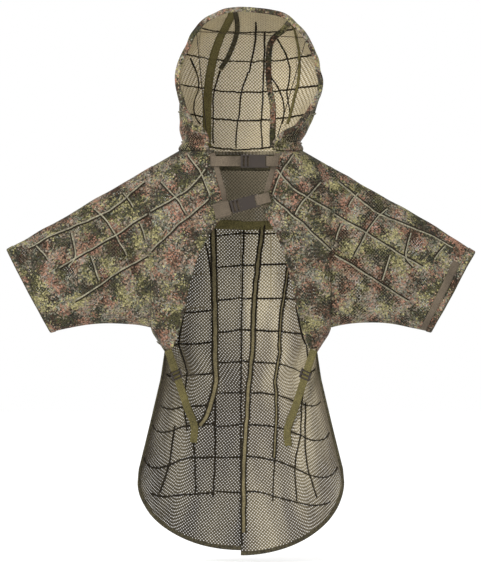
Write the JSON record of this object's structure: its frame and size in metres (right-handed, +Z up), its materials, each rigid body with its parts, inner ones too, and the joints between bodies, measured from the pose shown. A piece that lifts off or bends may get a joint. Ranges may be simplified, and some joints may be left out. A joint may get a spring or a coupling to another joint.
{
  "type": "ghillie suit base cape",
  "caption": "Hooded mesh camouflage cape with short sleeves, cut-away fronts closed by two buckled straps, a long back tail and a sewn cord grid for tying on garnish.",
  "frame": {"origin": "middle of the neck, level with the seam between the hood and the cape", "axes": "+Z up as worn, -Y to the front, +X to the right of someone who faces the front"},
  "size_m": [1.1692, 0.2517, 1.3793],
  "materials": {
    "net": "woodland print on knitted mesh",
    "lining": "matte",
    "tape": "matte",
    "binding": "matte",
    "net_binding": "matte print",
    "cord": "matte",
    "webbing": "ribbed weave",
    "plastic": "fine texture"
  },
  "bodies": {
    "cape": {"back_cords_left": "cord", "back_cords_right": "cord", "back_panel_left": "net", "back_panel_right": "net", "back_side_tape_left": "tape", "back_side_tape_right": "tape", "back_yoke_lining": "lining", "centre_back_tape": "tape", "front_cords_left": "cord", "front_cords_right": "cord", "front_edge_binding_left": "binding", "front_edge_binding_right": "binding", "front_panel_left": "net", "front_panel_right": "net", "lower_buckle_female": "plastic", "lower_strap_fold_left": "webbing", "lower_strap_fold_right": "webbing", "lower_strap_webbing_left": "webbing", "lower_strap_webbing_right": "webbing", "neck_seam_tape": "binding", "side_strap_left": "tape", "side_strap_right": "tape", "tail_hem_binding_left": "binding", "tail_hem_binding_right": "binding", "throat_tape_left": "webbing", "throat_tape_right": "webbing", "upper_buckle_female": "plastic", "upper_strap_webbing_left": "webbing", "upper_strap_webbing_right": "webbing", "yoke_hem_band": "tape"},
    "hood": {"hood_centre_panel": "net", "hood_brim_binding": "net_binding", "hood_cords": "cord", "hood_side_panel_left": "net", "hood_side_panel_right": "net", "hood_seam_tape_left": "tape", "hood_seam_tape_right": "tape"},
    "sleeve_left": {"sleeve_left": "net", "cuff_hem_left": "binding", "sleeve_cords_left": "cord"},
    "sleeve_right": {"sleeve_right": "net", "cuff_hem_right": "binding", "sleeve_cords_right": "cord"},
    "upper_buckle_male": {"upper_buckle_male": "plastic"},
    "lower_buckle_male": {"lower_buckle_male": "plastic"},
    "side_strap_slide_left": {"side_strap_slide_left": "plastic"},
    "side_strap_slide_right": {"side_strap_slide_right": "plastic"}
  },
  "joints": [
    {"name": "hood_fall", "type": "hinge", "parent": "cape", "child": "hood", "pos_m": [0, 0.082, -0.001], "axis": [-1, 0, 0], "range_deg": [0, 95]},
    {"name": "sleeve_left_raise", "type": "hinge", "parent": "cape", "child": "sleeve_left", "pos_m": [-0.225, -0.005, -0.038], "axis": [0, 1, 0], "range_deg": [0, 40]},
    {"name": "sleeve_right_raise", "type": "hinge", "parent": "cape", "child": "sleeve_right", "pos_m": [0.225, -0.005, -0.038], "axis": [0, -1, 0], "range_deg": [0, 40]},
    {"name": "upper_buckle_release", "type": "slide", "parent": "cape", "child": "upper_buckle_male", "axis": [-1, 0, 0], "range_m": [0, 0.03]},
    {"name": "lower_buckle_release", "type": "slide", "parent": "cape", "child": "lower_buckle_male", "axis": [-0.9659, 0, -0.2588], "range_m": [0, 0.03]},
    {"name": "side_strap_slide_left_adjust", "type": "slide", "parent": "cape", "child": "side_strap_slide_left", "axis": [0.276, 0.4571, -0.8455], "range_m": [-0.035, 0.08]},
    {"name": "side_strap_slide_right_adjust", "type": "slide", "parent": "cape", "child": "side_strap_slide_right", "axis": [-0.276, 0.4571, -0.8455], "range_m": [-0.035, 0.08]}
  ]
}
